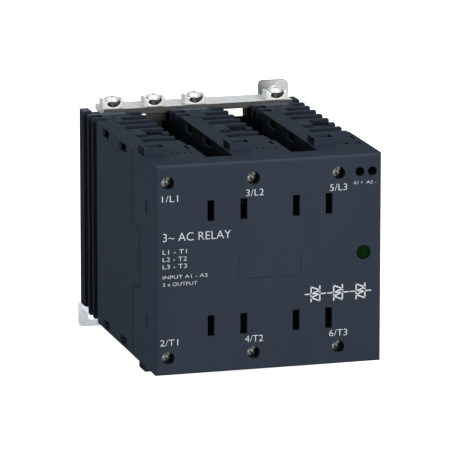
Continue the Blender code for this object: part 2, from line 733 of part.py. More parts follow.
def saddle(name, x):
    """A square clamp block with a round trough along y, for an earth wire under the screw head."""
    width, depth, thick = SADDLE
    top = SADDLE_FOOT + thick
    plate = box(x - width / 2, x + width / 2, CLAMP_Y - depth / 2, CLAMP_Y + depth / 2, SADDLE_FOOT, top)
    half, floor, sides = TROUGH
    sink = sides - floor
    radius = (half**2 + sink**2) / (2 * sink)
    reach = math.degrees(math.asin(half / radius))
    trough = arc((x, SADDLE_FOOT + floor + radius), radius, 270 - reach, 270 + reach, 12)
    trough = [(x - half, top + 1)] + trough + [(x + half, top + 1)]
    cut(plate, prism(trough, "y", (CLAMP_Y - depth, CLAMP_Y + depth)))
    cut(plate, rod("z", (x, CLAMP_Y), M4_HOLE, (SADDLE_FOOT - 1, top + 1), 16))
    node(name, plate, "nickel_steel", (x, CLAMP_Y, SADDLE_FOOT))


def clamps_and_screws():
    for number, x in enumerate(sorted((*CLAMP_X, EARTH_X)), 1):
        saddle(f"clamp_saddle_{number}", x)
        under_head = SADDLE_FOOT + TROUGH[2] + 0.1
        screw = pan_screw(x, CLAMP_Y, under_head, CLAMP_HEAD, 1, 16)
        node(f"clamp_screw_{number}", screw, "nickel_steel", (x, CLAMP_Y, under_head))
    for number, x in enumerate(CLAMP_X, 1):
        screw = pan_screw(x, FIXING_Y, HEIGHT - FLANGE_Z[1] - 0.1, FIXING_HEAD, -1, 13)
        node(f"fixing_screw_{number}", screw, "nickel_steel")


# ------------------------------------------------------- rail plate and latch


def rail_plate():
    left, right = PLATE_X
    low, high = PLATE_Z
    corner = PLATE_CORNER
    outline = arc((right - corner, high - corner), corner, 0, 90) + arc((left + corner, high - corner), corner, 90, 180)
    outline += arc((left + corner, low + corner), corner, 180, 270)
    outline += arc((right - corner, low + corner), corner, 270, 360)
    plate = prism(outline, "y", PLATE_Y)
    left, right, top = LATCH_NOTCH
    cut(plate, box(left, right, PLATE_Y[0] - 1, PLATE_Y[1] + 1, low - 1, top))
    for x in HOOK_X:
        sides = (x - HOOK_WIDTH / 2, x + HOOK_WIDTH / 2)
        joined(plate, box(*sides, PLATE_Y[0] + 0.4, LIP_Y[1], *HOOK_ROOF))
        joined(plate, box(*sides, *LIP_Y, HOOK_FOOT, HOOK_ROOF[1] - 0.4))
    node("rail_plate", plate, "dark_steel")


def clip_bar():
    low, high = HEIGHT - FLANGE_Z[0] + GAP, FLANGE_Z[0] - GAP
    bar = box(*CLIP_X, *CLIP_Y, low, high)
    joined(bar, box(*CLIP_HEAD_X, *CLIP_HEAD_Y, CLIP_HEAD_FOOT, high))
    cut(bar, rod("z", (EARTH_X, CLAMP_Y), M4_HOLE, (HEIGHT - BORE_DEPTH - 1, HEIGHT), 16))
    node("clip_bar", bar, "dark_steel")


def rail_latch():
    latch = box(*LATCH_X, *LATCH_Y, *LATCH_Z)
    joined(latch, box(*LATCH_X, LATCH_Y[1] - 1, DEPTH, LATCH_ARM_FOOT, LATCH_Z[1] - 0.2))
    joined(latch, box(*LATCH_X, *LIP_Y, LATCH_ARM_FOOT + 0.5, LIP_TOP))
    joined(latch, box(*PULL_X, *PULL_Y, PULL_FOOT, LATCH_Z[0] + 1))
    eye = (PULL_X[0] + 0.7, PULL_X[1] - 0.7, PULL_Y[0] - 1, PULL_Y[1] + 1)
    cut(latch, box(*eye, *PULL_EYE_Z))
    node("rail_latch", latch, "dark_steel", (EARTH_X, sum(PULL_Y) / 2, LATCH_Z[0]))


def latch_spring():
    """A helix round the pull rod, between the lower flange and the latch."""
    steps = SPRING_TURNS * SPRING_STEPS
    curve = bpy.data.curves.new("latch_spring", "CURVE")
    curve.dimensions = "3D"
    curve.bevel_depth = SPRING_WIRE * MM
    curve.bevel_resolution = 1
    curve.use_fill_caps = True
    path = curve.splines.new("POLY")
    path.points.add(steps)
    centre = (EARTH_X, sum(PULL_Y) / 2)
    low, high = SPRING_Z
    for index, point in enumerate(path.points):
        turn = 2 * math.pi * SPRING_TURNS * index / steps
        x = centre[0] + (SPRING_RADIUS + 0.35) * math.cos(turn)
        y = centre[1] + SPRING_RADIUS * math.sin(turn)
        point.co = (*placed(x, y, low + (high - low) * index / steps), 1)
    spring = bpy.data.objects.new("latch_spring", curve)
    bpy.context.scene.collection.objects.link(spring)
    curve.materials.append(principled("spring_steel"))


def main():
    for item in list(bpy.data.objects):
        bpy.data.objects.remove(item)
    front_cover()
    marker_tag()
    for phase in PHASES:
        phase_housing(phase)
        heat_sink(phase)
        inner_parts(phase)
        phase_terminals(phase)
    control_terminals()
    control_board()
    status_lamp()
    brackets()
    clamps_and_screws()
    rail_plate()
    clip_bar()
    rail_latch()
    latch_spring()


main()
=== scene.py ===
import json
import math

import bpy
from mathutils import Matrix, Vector


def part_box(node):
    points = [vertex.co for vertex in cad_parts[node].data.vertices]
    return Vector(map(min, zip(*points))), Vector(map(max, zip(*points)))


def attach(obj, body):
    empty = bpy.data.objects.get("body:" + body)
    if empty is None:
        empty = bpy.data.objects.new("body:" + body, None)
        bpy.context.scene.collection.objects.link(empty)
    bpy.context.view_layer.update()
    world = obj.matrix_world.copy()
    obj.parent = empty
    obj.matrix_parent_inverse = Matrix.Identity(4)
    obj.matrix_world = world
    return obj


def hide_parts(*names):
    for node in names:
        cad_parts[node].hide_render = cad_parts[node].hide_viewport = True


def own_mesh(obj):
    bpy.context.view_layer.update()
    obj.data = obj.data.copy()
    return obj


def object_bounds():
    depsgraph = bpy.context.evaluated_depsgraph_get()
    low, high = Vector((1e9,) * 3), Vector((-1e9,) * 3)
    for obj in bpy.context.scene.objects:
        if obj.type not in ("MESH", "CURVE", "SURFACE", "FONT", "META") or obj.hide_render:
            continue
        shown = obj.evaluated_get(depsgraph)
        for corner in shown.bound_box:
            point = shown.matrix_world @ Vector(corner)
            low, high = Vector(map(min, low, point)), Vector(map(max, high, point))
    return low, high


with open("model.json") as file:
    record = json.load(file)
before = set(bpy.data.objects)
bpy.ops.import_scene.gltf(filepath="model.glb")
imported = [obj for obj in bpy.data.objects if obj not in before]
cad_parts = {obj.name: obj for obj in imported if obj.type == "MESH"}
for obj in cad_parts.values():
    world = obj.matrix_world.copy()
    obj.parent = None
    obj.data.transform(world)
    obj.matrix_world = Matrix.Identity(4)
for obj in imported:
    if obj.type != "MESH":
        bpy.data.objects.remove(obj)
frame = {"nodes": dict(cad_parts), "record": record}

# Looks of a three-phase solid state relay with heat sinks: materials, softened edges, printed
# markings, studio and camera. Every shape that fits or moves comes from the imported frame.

cad_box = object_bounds()
MM = 0.001
LEFT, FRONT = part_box("front_cover")[0].xy  # the left side and the front face of the whole part
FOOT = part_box("heat_sink_1")[0].z  # the underside of the modules
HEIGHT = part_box("heat_sink_1")[1].z - FOOT
STEEL_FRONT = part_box("upper_bracket")[0].y  # the front edge of the brackets' flanges
STEEL_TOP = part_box("clamp_saddle_1")[0].z  # the upper flange's top, where the clamps stand
TAB_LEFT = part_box("upper_bracket")[1].x - 14.7 * MM  # the upper tab's left edge
MODULE_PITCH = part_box("heat_sink_2")[0].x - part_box("heat_sink_1")[0].x
CORE_RIGHT = 18.5 * MM  # the right end of a heat sink's solid core, from its module's left side
COVER_REAR = FRONT + 41.1 * MM
TONGUE_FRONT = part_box("phase_housing_1")[0].y  # the housings' tongues reach forward into the cover
TONGUE_Z = (FOOT + 34.6 * MM, FOOT + 64.0 * MM)


def linked(name, data):
    """A new object in the scene that shows this data."""
    item = bpy.data.objects.new(name, data)
    bpy.context.scene.collection.objects.link(item)
    return item


# ------------------------------------------------------------------ materials

IN_SHADE = (0.003, 0.004, 0.005)
SIDE_SKIN = 0.8 * MM  # faces deeper than this from the left side are inside the plastic's openings
FIN_SKIN = 10 * MM  # and deeper than this, on heat sinks, in the air channels
SEAM_HALF = 0.5 * MM  # half the width of the shaded line along the joint of cover and housing


class Graph:
    """A material's nodes. Patterns are placed by object coordinates, which are metres on the part."""

    def __init__(self, name):
        self.material = bpy.data.materials.new(name)
        self.material.use_nodes = True
        self.tree = self.material.node_tree
        self.shader = self.tree.nodes["Principled BSDF"]
        self.point = self.add("ShaderNodeTexCoord").outputs["Object"]

    def add(self, kind, **settings):
        item = self.tree.nodes.new(kind)
        for name, value in settings.items():
            setattr(item, name, value)
        return item

    def put(self, socket, value):
        """Links a node's output to the socket, or sets the socket's own value."""
        if isinstance(value, bpy.types.NodeSocket):
            self.tree.links.new(value, socket)
        else:
            socket.default_value = value

    def noise(self, scale, detail=3.0, roughness=0.55, stretch=(1, 1, 1), distortion=0.0):
        mapping = self.add("ShaderNodeMapping")
        self.put(mapping.inputs["Vector"], self.point)
        mapping.inputs["Scale"].default_value = stretch
        texture = self.add("ShaderNodeTexNoise")
        self.put(texture.inputs["Vector"], mapping.outputs["Vector"])
        texture.inputs["Scale"].default_value = scale
        texture.inputs["Detail"].default_value = detail
        texture.inputs["Roughness"].default_value = roughness
        texture.inputs["Distortion"].default_value = distortion
        return texture.outputs["Fac"]

    def cells(self, scale, stretch=(1, 1, 1)):
        """A random shade for each cell of a Voronoi pattern."""
        mapping = self.add("ShaderNodeMapping")
        self.put(mapping.inputs["Vector"], self.point)
        mapping.inputs["Scale"].default_value = stretch
        texture = self.add("ShaderNodeTexVoronoi")
        self.put(texture.inputs["Vector"], mapping.outputs["Vector"])
        texture.inputs["Scale"].default_value = scale
        parts = self.add("ShaderNodeSeparateColor")
        self.put(parts.inputs[0], texture.outputs["Color"])
        return parts.outputs[0]

    def spread(self, value, low, high, to_low=0.0, to_high=1.0):
        """value, from low to high, brought to to_low to to_high."""
        item = self.add("ShaderNodeMapRange", clamp=True)
        limits = {"From Min": low, "From Max": high, "To Min": to_low, "To Max": to_high}
        for name, number in limits.items():
            item.inputs[name].default_value = number
        self.put(item.inputs["Value"], value)
        return item.outputs["Result"]

    def calc(self, operation, first, second=0.0):
        """The result of a Math node."""
        item = self.add("ShaderNodeMath", operation=operation)
        self.put(item.inputs[0], first)
        self.put(item.inputs[1], second)
        return item.outputs[0]

    def blend(self, factor, first, second):
        """The first colour where factor is 0, and the second where it is 1."""
        item = self.add("ShaderNodeMix", data_type="RGBA")
        self.put(item.inputs["Factor"], factor)
        for socket, value in zip((item.inputs["A"], item.inputs["B"]), (first, second)):
            colour = value if isinstance(value, bpy.types.NodeSocket) else (*value, 1)
            self.put(socket_of(item, socket), colour)
        return item.outputs[2]

    def place(self, axis):
        """Metres along an axis: 0 to the right, 1 to the rear, 2 up."""
        parts = self.add("ShaderNodeSeparateXYZ")
        self.put(parts.inputs[0], self.point)
        return parts.outputs[axis]

    def normal(self, axis):
        """How far the flat face looks along an axis, from -1 to 1."""
        parts = self.add("ShaderNodeSeparateXYZ")
        self.put(parts.inputs[0], self.add("ShaderNodeNewGeometry").outputs["True Normal"])
        return parts.outputs[axis]

    def inner_left(self, depth):
        """1 on faces that look left from deeper than depth, such as the walls of the air channels."""
        inner = self.calc("GREATER_THAN", self.place(0), LEFT + depth)
        return self.calc("MULTIPLY", inner, self.calc("LESS_THAN", self.normal(0), -0.5))

    def side_seam(self):
        """1 along the joint of cover and housing on the left side, which steps forward round the tongue."""
        low = self.calc("GREATER_THAN", self.place(2), TONGUE_Z[0])
        high = self.calc("LESS_THAN", self.place(2), TONGUE_Z[1])
        joint = self.spread(self.calc("MULTIPLY", low, high), 0, 1, COVER_REAR, TONGUE_FRONT)
        distance = self.calc("ABSOLUTE", self.calc("SUBTRACT", self.place(1), joint))
        near = self.calc("LESS_THAN", distance, SEAM_HALF)
        outside = self.calc("LESS_THAN", self.place(0), LEFT + 0.3 * MM)
        return self.calc("MULTIPLY", near, outside)

    def edges(self, radius):
        """1 along sharp outer edges, 0 on faces, from the angle to a rounded normal."""
        rounded = self.add("ShaderNodeBevel", samples=6)
        rounded.inputs["Radius"].default_value = radius
        item = self.add("ShaderNodeVectorMath", operation="DOT_PRODUCT")
        self.put(item.inputs[0], rounded.outputs["Normal"])
        self.put(item.inputs[1], self.add("ShaderNodeNewGeometry").outputs["Normal"])
        return self.spread(item.outputs["Value"], 0.995, 0.9)

    def bump(self, height, strength, distance):
        item = self.add("ShaderNodeBump")
        item.inputs["Strength"].default_value = strength
        item.inputs["Distance"].default_value = distance
        self.put(item.inputs["Height"], height)
        self.put(self.shader.inputs["Normal"], item.outputs["Normal"])

    def finish(self, colour, roughness, **fixed):
        """Sets the shader's colour and roughness, and constants by socket name."""
        self.put(self.shader.inputs["Base Color"], colour)
        self.put(self.shader.inputs["Roughness"], roughness)
        for name, value in fixed.items():
            self.shader.inputs[name.replace("_", " ")].default_value = value
        return self.material


def socket_of(item, socket):
    """The colour version of a Mix node's socket, which shares its name with other types."""
    return next(s for s in item.inputs if s.name == socket.name and s.type == "RGBA")


def slate_plastic(name="slate_plastic", shade=1.0):
    """Moulded slate-grey plastic: a fine spark-eroded grain, faint flow marks and worn edges.

    A painted highlight lies on the rounded edge between front and top, and painted shade darkens faces in
    the channels.
    """
    g = Graph(name)
    deep = [shade * c for c in (0.0196, 0.0254, 0.0375)]
    pale = [shade * c for c in (0.0223, 0.0290, 0.0422)]
    worn = [shade * c for c in (0.044, 0.054, 0.072)]
    flow = g.noise(26, 4, 0.6, (1, 1, 0.35), 0.6)
    grain = g.noise(3600, 2, 0.5)
    body = g.blend(g.spread(flow, 0.35, 0.65), deep, pale)
    body = g.blend(g.spread(grain, 0.58, 0.8, 0, 0.25), body, worn)
    rubbed = g.calc("MULTIPLY", g.edges(0.35 * MM), g.spread(g.noise(420, 3), 0.35, 0.7, 0.25, 0.8))
    body = g.blend(rubbed, body, worn)
    # painted highlight: faces that look up and forward, along the rounded edge between front and top, are
    # mixed toward the pale worn colour
    painted_highlight = g.calc("MULTIPLY", g.spread(g.normal(2), 0.1, 0.6), g.spread(g.normal(1), -0.1, -0.6))
    body = g.blend(g.calc("MULTIPLY", painted_highlight, 0.55), body, worn)
    body = g.blend(g.calc("MULTIPLY", g.inner_left(SIDE_SKIN), 0.85), body, IN_SHADE)
    body = g.blend(g.calc("MULTIPLY", g.side_seam(), 0.8), body, IN_SHADE)
    g.bump(g.calc("ADD", grain, g.calc("MULTIPLY", g.noise(1100, 2), 0.6)), 0.16, 0.05 * MM)
    dull = g.calc("ADD", g.spread(flow, 0.3, 0.7, 0.5, 0.58), g.spread(grain, 0.3, 0.7, -0.05, 0.05))
    return g.finish(body, dull, Specular_IOR_Level=0.009)


def anodised():
    """Black anodised extrusion: draw lines along z, saw marks on the cut ends, paler beside the steel."""
    g = Graph("black_anodised")
    lines = g.noise(1500, 2, 0.6, (1, 1, 0.012))
    broad = g.noise(160, 2, 0.5, (1, 1, 0.02))
    saw = g.noise(1300, 2, 0.5, (0.03, 1, 1))
    cut_end = g.calc("GREATER_THAN", g.calc("ABSOLUTE", g.normal(2)), 0.8)
    skin = g.blend(g.spread(lines, 0.35, 0.7), (0.0042, 0.0056, 0.0096), (0.0085, 0.0108, 0.0174))
    skin = g.blend(g.spread(broad, 0.3, 0.7, 0, 0.4), skin, (0.0080, 0.0100, 0.0155))
    milled = g.blend(g.spread(saw, 0.35, 0.65), (0.018, 0.024, 0.037), (0.023, 0.030, 0.045))
    near_steel = g.calc("GREATER_THAN", g.place(1), STEEL_FRONT - 5.5 * MM)
    in_module = g.calc("MODULO", g.calc("SUBTRACT", g.place(0), LEFT), MODULE_PITCH)
    on_core = g.calc("LESS_THAN", in_module, CORE_RIGHT)
    bright = g.calc("MULTIPLY", g.calc("MULTIPLY", near_steel, on_core), 0.8)
    milled = g.blend(bright, milled, (0.085, 0.098, 0.120))
    # painted light: the skin is paler within 2.4 mm of the top and bottom ends, in place of light on the
    # fins' faces near their edges
    end_distance = g.calc("ABSOLUTE", g.calc("SUBTRACT", g.place(2), FOOT + HEIGHT / 2))
    painted_light_near_end = g.spread(end_distance, HEIGHT / 2 - 2.4 * MM, HEIGHT / 2 - 0.2 * MM)
    skin = g.blend(g.calc("MULTIPLY", painted_light_near_end, 0.75), skin, (0.022, 0.028, 0.042))
    # painted shade: faces that look left from more than 10 mm in, the fin walls of the air channels, are
    # darkened nearly to black
    skin = g.blend(g.calc("MULTIPLY", g.inner_left(FIN_SKIN), 0.85), skin, (0.002, 0.003, 0.004))
    worn = g.calc("MULTIPLY", g.edges(0.25 * MM), g.spread(g.noise(600, 3), 0.4, 0.7, 0.1, 0.6))
    colour = g.blend(worn, g.blend(cut_end, skin, milled), (0.045, 0.052, 0.068))
    height = g.blend(cut_end, lines, saw)
    g.bump(height, 0.22, 0.06 * MM)
    dull = g.spread(lines, 0.3, 0.7, 0.34, 0.5)
    return g.finish(colour, dull, Metallic=0.0, Specular_IOR_Level=0.008)


def zinc(name="zinc_steel", metallic=0.65, tab_shade=1.0, tone=1.0):
    """Zinc-plated sheet: soft spangle, faint rolling lines and a front edge darkened nearly to black.

    tab_shade below 1 paints shade on the tab above the flange, strongest at its left corner, and tone scales
    the colours.
    """
    g = Graph(name)
    spangle = g.cells(420, (1, 1, 1))
    cloud = g.noise(140, 4, 0.6)
    lines = g.noise(900, 2, 0.5, (0.03, 1, 1))
    deep = [tone * c for c in (0.72, 0.73, 0.73)]
    pale = [tone * c for c in (0.82, 0.82, 0.81)]
    clouded = [tone * c for c in (0.62, 0.63, 0.63)]
    colour = g.blend(g.spread(spangle, 0.1, 0.9), deep, pale)
    colour = g.blend(g.spread(cloud, 0.4, 0.75, 0, 0.5), colour, clouded)
    # the front faces of the flanges are darkened nearly to black
    darker_front = g.calc("LESS_THAN", g.place(1), STEEL_FRONT + 0.15 * MM)
    colour = g.blend(g.calc("MULTIPLY", darker_front, 0.95), colour, (0.030, 0.030, 0.033))
    # painted shade on the tab above the flange, strongest at its left corner
    on_tab = g.spread(g.place(2), STEEL_TOP + 0.1 * MM, STEEL_TOP + 0.6 * MM)
    from_corner = g.spread(g.place(0), TAB_LEFT, TAB_LEFT + 9 * MM, 1.0, 0.55)
    painted_tab_shade = g.calc("MULTIPLY", g.calc("MULTIPLY", on_tab, from_corner), 1.0 - tab_shade)
    colour = g.blend(painted_tab_shade, colour, (0.10, 0.10, 0.105))
    g.bump(g.calc("ADD", lines, g.calc("MULTIPLY", cloud, 0.5)), 0.12, 0.04 * MM)
    dull = g.calc("ADD", g.spread(spangle, 0, 1, 0.36, 0.46), g.spread(cloud, 0.3, 0.7, 0.0, 0.08))
    return g.finish(colour, dull, Metallic=metallic, Specular_IOR_Level=0.2)


def clamp_nickel(name, centre, reach, roof, front_limit):
    """Satin nickel with painted shade in the trough: within reach of the centre line and below the roof.

    front_limit is the lowest y of a dark face's normal: -0.7 spares the front face, and -1.1 spares nothing.
    """
    g = Graph(name)
    cloud = g.noise(500, 4, 0.6)
    scratch = g.noise(2600, 2, 0.5, (1, 0.08, 1))
    colour = g.blend(g.spread(cloud, 0.35, 0.7), (0.70, 0.70, 0.70), (0.56, 0.56, 0.56))
    beside = g.calc("ABSOLUTE", g.calc("SUBTRACT", g.place(0), centre))
    inside = g.calc("MULTIPLY", g.calc("LESS_THAN", beside, reach), g.calc("LESS_THAN", g.place(2), roof))
    inside = g.calc("MULTIPLY", inside, g.calc("GREATER_THAN", g.normal(1), front_limit))
    # painted shade: the trough under the screw's head, and the shank in it, are darkened
    colour = g.blend(g.calc("MULTIPLY", inside, 0.97), colour, (0.060, 0.061, 0.065))
    g.bump(g.calc("ADD", scratch, cloud), 0.1, 0.03 * MM)
    return g.finish(colour, g.spread(cloud, 0.3, 0.7, 0.4, 0.5), Metallic=0.45)


def nickel(name="nickel_steel", bright=1.0, low=0.16, high=0.3):
    """Nickel plating, with tool scratches and a cloudy sheen."""
    g = Graph(name)
    cloud = g.noise(500, 4, 0.6)
    scratch = g.noise(2600, 2, 0.5, (1, 0.08, 1))
    pale = [bright * c for c in (0.86, 0.855, 0.84)]
    deep = [bright * c for c in (0.66, 0.655, 0.64)]
    colour = g.blend(g.spread(cloud, 0.35, 0.7), pale, deep)
    g.bump(g.calc("ADD", scratch, cloud), 0.1, 0.03 * MM)
    return g.finish(colour, g.spread(cloud, 0.3, 0.7, low, high), Metallic=1.0)


def dark_steel():
    """Black-coated steel: a fine powder texture with bare metal along rubbed edges."""
    g = Graph("dark_steel")
    powder = g.noise(2400, 3, 0.6)
    rubbed = g.calc("MULTIPLY", g.edges(0.3 * MM), g.spread(g.noise(300, 3), 0.45, 0.7))
    coat = g.blend(g.spread(powder, 0.35, 0.7), (0.009, 0.009, 0.011), (0.020, 0.020, 0.023))
    g.bump(powder, 0.25, 0.05 * MM)
    return g.finish(g.blend(rubbed, coat, (0.16, 0.16, 0.165)), g.spread(powder, 0.3, 0.7, 0.38, 0.55))


def spring_steel():
    """Drawn spring wire with a light oil film."""
    g = Graph("spring_steel")
    drawn = g.noise(1800, 3, 0.6)
    colour = g.blend(g.spread(drawn, 0.3, 0.7), (0.42, 0.42, 0.43), (0.62, 0.61, 0.59))
    g.bump(drawn, 0.1, 0.02 * MM)
    return g.finish(colour, g.spread(drawn, 0.3, 0.7, 0.2, 0.34), Metallic=1.0)


def tinned_copper():
    """Copper bar under a thin tin layer, which thins to copper at the edges."""
    g = Graph("tinned_copper")
    cloud = g.noise(700, 4, 0.6)
    tin = g.blend(g.spread(cloud, 0.35, 0.7), (0.74, 0.71, 0.66), (0.62, 0.57, 0.50))
    colour = g.blend(g.edges(0.3 * MM), tin, (0.70, 0.38, 0.24))
    g.bump(cloud, 0.15, 0.03 * MM)
    return g.finish(colour, g.spread(cloud, 0.3, 0.7, 0.24, 0.4), Metallic=1.0)


def potting():
    """Moulded black epoxy with a filled, slightly sparkling surface."""
    g = Graph("potting")
    filler = g.noise(5200, 2, 0.6)
    colour = g.blend(g.spread(filler, 0.5, 0.8), (0.010, 0.010, 0.011), (0.035, 0.035, 0.036))
    g.bump(filler, 0.3, 0.05 * MM)
    return g.finish(colour, g.spread(filler, 0.3, 0.7, 0.42, 0.6))


def board():
    """Circuit board: green mask over copper tracks that run up the board, with tinned pads."""
    g = Graph("board")
    tracks = g.calc("GREATER_THAN", g.cells(330, (1, 1, 0.12)), 0.5)
    pads = g.calc("GREATER_THAN", g.cells(640), 0.9)
    weave = g.noise(2600, 2, 0.5)
    mask = g.blend(tracks, (0.006, 0.055, 0.020), (0.012, 0.105, 0.038))
    mask = g.blend(g.spread(weave, 0.5, 0.8, 0, 0.3), mask, (0.02, 0.12, 0.05))
    colour = g.blend(pads, mask, (0.55, 0.54, 0.50))
    g.bump(g.calc("ADD", tracks, pads), 0.3, 0.05 * MM)
    return g.finish(colour, g.spread(weave, 0.3, 0.7, 0.25, 0.4))


def capacitor():
    """Glossy yellow box of a film capacitor."""
    g = Graph("capacitor")
    cloud = g.noise(300, 3, 0.5)
    colour = g.blend(g.spread(cloud, 0.35, 0.65), (0.52, 0.34, 0.035), (0.62, 0.43, 0.06))
    g.bump(g.noise(2000, 2), 0.08, 0.04 * MM)
    return g.finish(colour, g.spread(cloud, 0.3, 0.7, 0.22, 0.34))


def green_lens():
    """Dark green lens, with a faint cloudy tone."""
    g = Graph("green_lens")
    cloud = g.noise(900, 3, 0.5)
    colour = g.blend(g.spread(cloud, 0.3, 0.7), (0.0002, 0.0062, 0.0009), (0.0004, 0.0108, 0.0016))
    g.bump(g.noise(1500, 2), 0.05, 0.03 * MM)
    return g.finish(colour, g.spread(cloud, 0.3, 0.7, 0.22, 0.32), Specular_IOR_Level=0.03)


def led_resin():
    """Diffused green resin of the light-emitting diode."""
    g = Graph("led_resin")
    cloud = g.noise(1200, 3, 0.5)
    colour = g.blend(g.spread(cloud, 0.3, 0.7), (0.16, 0.48, 0.20), (0.28, 0.66, 0.33))
    g.bump(cloud, 0.08, 0.02 * MM)
    return g.finish(colour, g.spread(cloud, 0.3, 0.7, 0.2, 0.3))


def ink():
    """Pale pad-printed ink, thin enough for the plastic's grain to show in it."""
    g = Graph("printed_ink")
    grain = g.noise(2600, 3, 0.6)
    colour = g.blend(g.spread(grain, 0.35, 0.75), (0.50, 0.52, 0.55), (0.40, 0.42, 0.45))
    g.bump(grain, 0.2, 0.02 * MM)
    return g.finish(colour, g.spread(grain, 0.3, 0.7, 0.5, 0.65), Specular_IOR_Level=0.25)


MATERIALS = {
    "slate_plastic": slate_plastic(),
    "black_anodised": anodised(),
    "zinc_steel": zinc(),
    "nickel_steel": nickel(),
    "dark_steel": dark_steel(),
    "spring_steel": spring_steel(),
    "tinned_copper": tinned_copper(),
    "potting": potting(),
    "board": board(),
    "capacitor": capacitor(),
    "green_lens": green_lens(),
    "led_resin": led_resin(),
}
# painted shade: the upper bracket's copy of the zinc darkens its tab
upper_zinc = zinc("upper_zinc", tab_shade=0.16)
# painted light: the lower bracket gets a paler, non-metallic copy of the zinc, so that its tab looks lit
lower_zinc = zinc("lower_zinc", metallic=0.0, tone=1.2)
terminal_steel = nickel("terminal_steel", bright=0.26, low=0.14, high=0.24)
# painted shade: the phase housings, which show on the left side, get a copy of the slate plastic 3 % darker
side_plastic = slate_plastic("side_plastic", shade=0.97)
printed_ink = ink()

TROUGH_REACH = 3.85 * MM  # from the middle of a clamp to the side of the trough under its screw's head
TROUGH_ROOF = 2.45 * MM  # from the top of the screw down to the rim of its head


def clamp_material(item):
    """The nickel of a clamp's screw or saddle, with painted shade in that clamp's trough."""
    number = item.name[-1]
    saddle_low, saddle_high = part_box("clamp_saddle_" + number)
    screw_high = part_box("clamp_screw_" + number)[1]
    centre = (saddle_low.x + saddle_high.x) / 2
    front_limit = -0.7 if "saddle" in item.name else -1.1
    return clamp_nickel(item.name + "_nickel", centre, TROUGH_REACH, screw_high.z - TROUGH_ROOF, front_limit)


def dress_nodes():
    """Gives each CAD node the material of its slot, or that slot's variant for this node."""
    for entry in frame["record"]["subparts"]:
        item = frame["nodes"][entry["node"]]
        material = MATERIALS[entry["material_slot"]]
        if item.name.startswith(("terminal_screw", "control_screw")):
            material = terminal_steel
        if item.name.startswith("phase_housing"):
            material = side_plastic
        if item.name == "upper_bracket":
            material = upper_zinc
        if item.name == "lower_bracket":
            material = lower_zinc
        if item.name.startswith("clamp_"):
            material = clamp_material(item)
        item.material_slots[0].material = material


# -------------------------------------------------------------- softened edges

EDGE_WIDTHS = {  # millimetres, by part of a node's name
    "front_cover": 0.22,
    "marker_tag": 0.15,
    "phase_housing": 0.22,
    "heat_sink": 0.16,
    "bracket": 0.3,
    "rail_plate": 0.2,
    "rail_latch": 0.25,
    "clip_bar": 0.25,
    "terminal_screw": 0.18,
    "control_screw": 0.12,
    "clamp_saddle": 0.35,
    "clamp_screw": 0.18,
    "fixing_screw": 0.18,
    "lamp_lens": 0.5,
    "terminal_cage": 0.12,
    "busbar": 0.1,
    "power_module": 0.3,
    "snubber_capacitor": 0.5,
}
WELD = 0.002 * MM
FLAT = math.radians(0.5)
SHARP = math.radians(30)


def soften(item, width):
    """Rounds an item's sharp edges with modifiers, which leave its own mesh as it is."""
    weld = item.modifiers.new("weld", "WELD")
    weld.merge_threshold = WELD
    flatten = item.modifiers.new("flatten", "DECIMATE")
    flatten.decimate_type = "DISSOLVE"
    flatten.angle_limit = FLAT
    bevel = item.modifiers.new("bevel", "BEVEL")
    bevel.width = width * MM
    bevel.segments = 2
    bevel.limit_method = "ANGLE"
    bevel.angle_limit = SHARP
    bevel.use_clamp_overlap = True
    shading = item.modifiers.new("shading", "WEIGHTED_NORMAL")
    shading.weight = 80


def soften_nodes():
    for name, item in frame["nodes"].items():
        for part, width in EDGE_WIDTHS.items():
            if part in name:
                soften(item, width)
                break


# ------------------------------------------------------------ printed markings

INK_PROUD = 0.03 * MM
INK_THINNER = 0.012  # how much narrower than the typeface's own strokes, in the text's own units
BOX_FACES = ((0, 1, 2, 3), (7, 6, 5, 4), (0, 4, 5, 1), (1, 5, 6, 2), (2, 6, 7, 3), (3, 7, 4, 0))

# In millimetres on the front face: the left, right, low and high edge of each phase's number
LINE_NUMBERS = ((2.9, 10.5, 81.4, 84.4), (42.8, 51.3, 82.0, 85.1), (83.0, 91.2, 82.0, 85.1))
LOAD_NUMBERS = ((1.8, 10.4, 13.9, 16.8), (42.4, 51.0, 13.1, 16.2), (82.9, 91.6, 13.1, 16.2))
SYMBOL_X, SYMBOL_Z, SYMBOL_PITCH = 76.2, 33.8, 10.9
LEAD_STROKE = 0.5
SYMBOL_STROKE = 0.6


def on_front(x, z):
    """A point of the front face, from millimetres right of the left side and above the underside."""
    return Vector((LEFT + x * MM, FRONT, FOOT + z * MM))


def marking(name, words, left, right, low, high):
    """Raised ink text that fills this box of the front face, in millimetres."""
    curve = bpy.data.curves.new(name, "FONT")
    curve.body = words
    curve.extrude = INK_PROUD
    curve.offset = -INK_THINNER
    curve.resolution_u = 4
    curve.materials.append(printed_ink)
    item = linked(name, curve)
    bpy.context.view_layer.update()
    across = [corner[0] for corner in item.bound_box]
    up = [corner[1] for corner in item.bound_box]
    scale_x = (right - left) * MM / (max(across) - min(across))
    scale_y = (high - low) * MM / (max(up) - min(up))
    item.rotation_euler = (math.radians(90), 0, 0)
    item.scale = (scale_x, scale_y, 1)
    item.location = on_front(left, low) - Vector((min(across) * scale_x, 0, min(up) * scale_y))
    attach(item, "frame")


